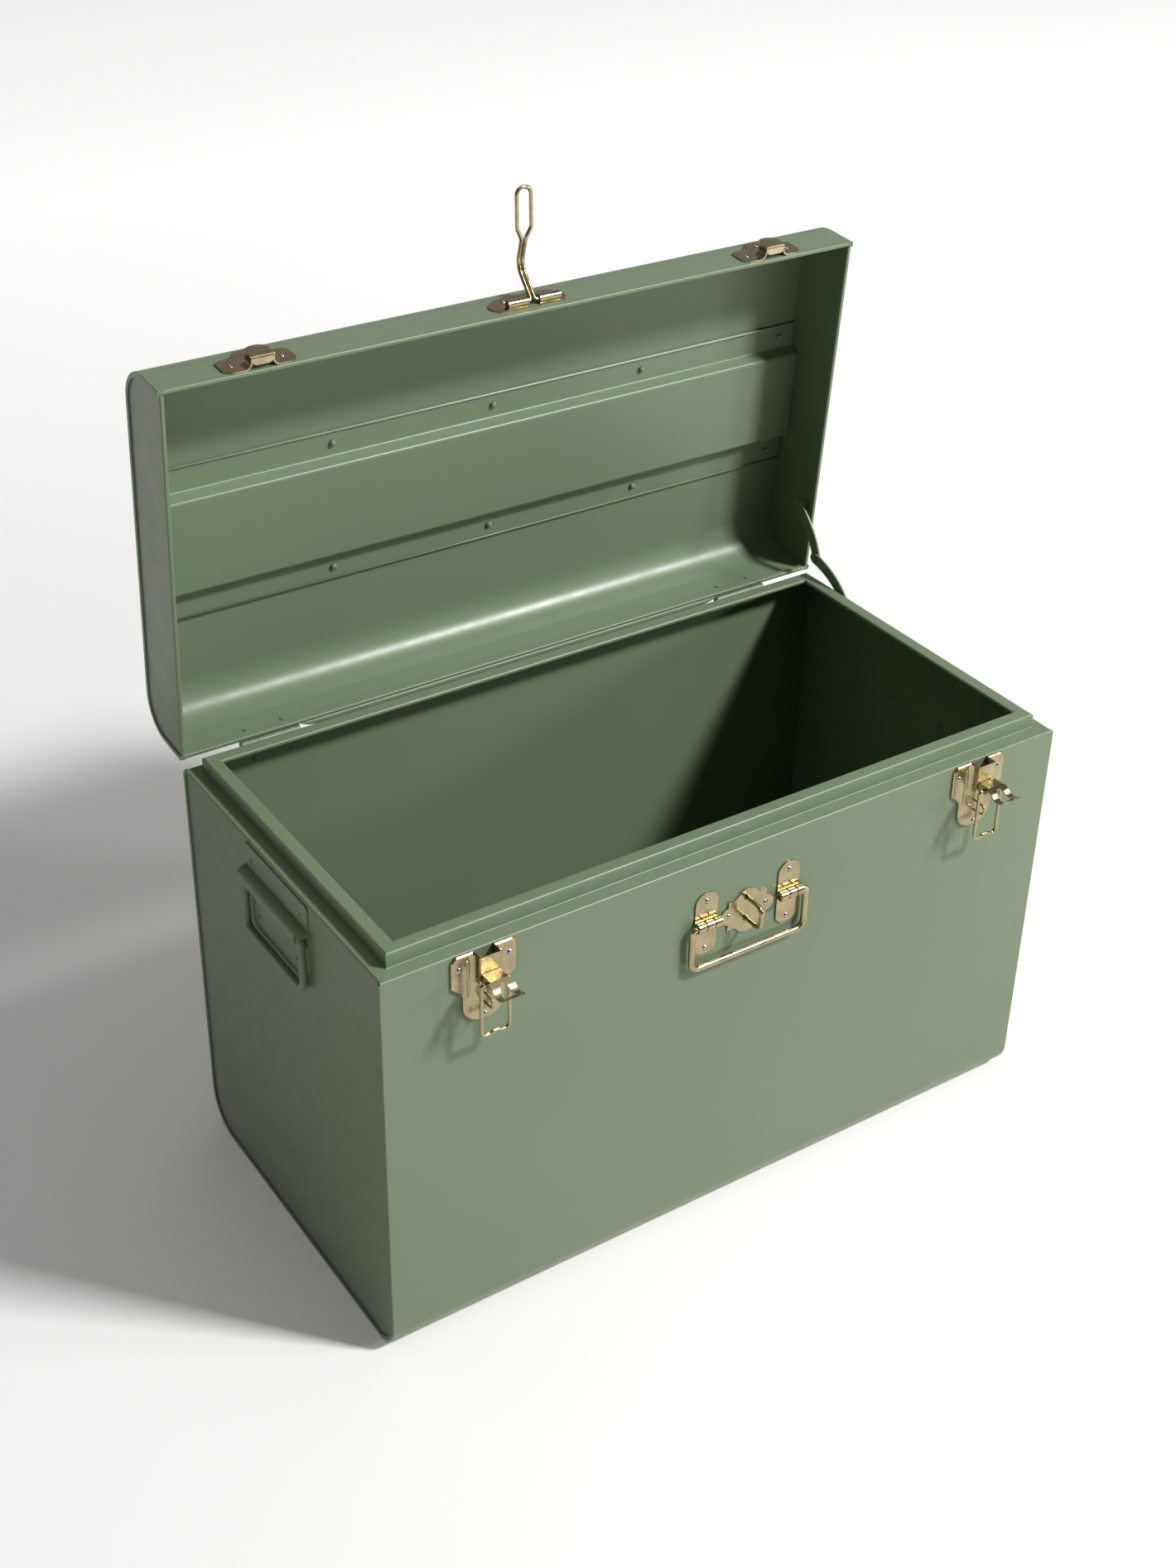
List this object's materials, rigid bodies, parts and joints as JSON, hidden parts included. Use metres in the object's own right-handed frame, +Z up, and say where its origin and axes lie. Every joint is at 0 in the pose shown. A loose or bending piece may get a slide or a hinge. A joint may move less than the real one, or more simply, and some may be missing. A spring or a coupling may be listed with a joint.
{
  "type": "footlocker",
  "caption": "Painted sheet-steel storage trunk with a hinged stiffened lid, draw latches, wire hasp and staple, front handle, end handles and a folding lid stay.",
  "frame": {"origin": "on the floor, under the middle of the body", "axes": "+X to the trunk's right end as seen from its front, +Y from front to back, +Z up; the lid stands open"},
  "size_m": [0.6252, 0.4096, 0.7521],
  "materials": {
    "green_paint": "semi-gloss sage-green powder coat",
    "brass": "bright plated",
    "rivet_steel": "bright rivet steel"
  },
  "bodies": {
    "trunk": {"body_wrap": "green_paint", "left_end_panel": "green_paint", "right_end_panel": "green_paint", "left_hinge_body_leaf": "green_paint", "right_hinge_body_leaf": "green_paint", "left_hinge_pin": "green_paint", "right_hinge_pin": "green_paint", "body_hinge_rivets": "green_paint", "left_latch_plate": "brass", "right_latch_plate": "brass", "left_latch_pin": "rivet_steel", "right_latch_pin": "rivet_steel", "latch_rivets": "rivet_steel", "staple_plate": "brass", "staple": "brass", "staple_rivets": "rivet_steel", "left_handle_lug": "brass", "right_handle_lug": "brass", "front_handle_rivets": "rivet_steel", "left_side_handle_plate": "green_paint", "right_side_handle_plate": "green_paint", "left_side_handle_rivets": "green_paint", "right_side_handle_rivets": "green_paint", "stay_body_rivet": "green_paint"},
    "lid": {"lid_wrap": "green_paint", "left_lid_end": "green_paint", "right_lid_end": "green_paint", "lid_stiffener": "green_paint", "stiffener_rivets": "green_paint", "left_hinge_lid_leaf": "green_paint", "right_hinge_lid_leaf": "green_paint", "lid_hinge_rivets": "green_paint", "left_catch": "brass", "right_catch": "brass", "catch_rivets": "rivet_steel", "hasp_plate": "brass", "hasp_rivets": "rivet_steel", "stay_lid_rivet": "green_paint"},
    "left_lever": {"left_latch_lever": "brass"},
    "right_lever": {"right_latch_lever": "brass"},
    "left_bail": {"left_latch_bail": "brass"},
    "right_bail": {"right_latch_bail": "brass"},
    "hasp_wire": {"hasp": "brass"},
    "front_bail": {"front_handle": "brass"},
    "left_grip": {"left_side_handle": "green_paint"},
    "right_grip": {"right_side_handle": "green_paint"},
    "stay_lower": {"stay_lower_link": "green_paint", "stay_knee_rivet_inner": "green_paint"},
    "stay_upper": {"stay_upper_link": "green_paint", "stay_knee_rivet_outer": "green_paint"}
  },
  "joints": [
    {"name": "lid_hinge", "type": "hinge", "parent": "trunk", "child": "lid", "pos_m": [0, 0.1596, 0.3498], "axis": [1, 0, 0], "range_deg": [0, 85.7]},
    {"name": "left_lever_turn", "type": "hinge", "parent": "trunk", "child": "left_lever", "pos_m": [-0.225, -0.1616, 0.329], "axis": [1, 0, 0], "range_deg": [0, 94]},
    {"name": "right_lever_turn", "type": "hinge", "parent": "trunk", "child": "right_lever", "pos_m": [0.225, -0.1616, 0.329], "axis": [1, 0, 0], "range_deg": [0, 94]},
    {"name": "left_bail_turn", "type": "hinge", "parent": "left_lever", "child": "left_bail", "pos_m": [-0.225, -0.1715, 0.329], "axis": [1, 0, 0], "range_deg": [-276, 0]},
    {"name": "right_bail_turn", "type": "hinge", "parent": "right_lever", "child": "right_bail", "pos_m": [0.225, -0.1715, 0.329], "axis": [1, 0, 0], "range_deg": [-276, 0]},
    {"name": "hasp_turn", "type": "hinge", "parent": "lid", "child": "hasp_wire", "pos_m": [0.0025, 0.1449, 0.66799], "axis": [1, 0, 0], "range_deg": [-45, 103]},
    {"name": "front_handle_swing", "type": "hinge", "parent": "trunk", "child": "front_bail", "pos_m": [0.0025, -0.1598, 0.2933], "axis": [-1, 0, 0], "range_deg": [0, 150]},
    {"name": "left_handle_swing", "type": "hinge", "parent": "trunk", "child": "left_grip", "pos_m": [-0.3084, 0, 0.316], "axis": [0, 1, 0], "range_deg": [0, 90]},
    {"name": "right_handle_swing", "type": "hinge", "parent": "trunk", "child": "right_grip", "pos_m": [0.3084, 0, 0.316], "axis": [0, -1, 0], "range_deg": [0, 90]},
    {"name": "stay_lower_turn", "type": "hinge", "parent": "trunk", "child": "stay_lower", "pos_m": [0.29445, 0.095, 0.3535], "axis": [1, 0, 0], "range_deg": [-22, 0]},
    {"name": "stay_upper_turn", "type": "hinge", "parent": "lid", "child": "stay_upper", "pos_m": [0.29635, 0.16792, 0.41521], "axis": [1, 0, 0], "range_deg": [0, 36]}
  ],
  "couplings": [
    {"joint": "stay_lower_turn", "follows": "lid_hinge", "ratio": -0.2541},
    {"joint": "stay_upper_turn", "follows": "lid_hinge", "ratio": 0.4153},
    {"joint": "left_bail_turn", "follows": "left_lever_turn", "ratio": -2.936},
    {"joint": "right_bail_turn", "follows": "right_lever_turn", "ratio": -2.936}
  ]
}
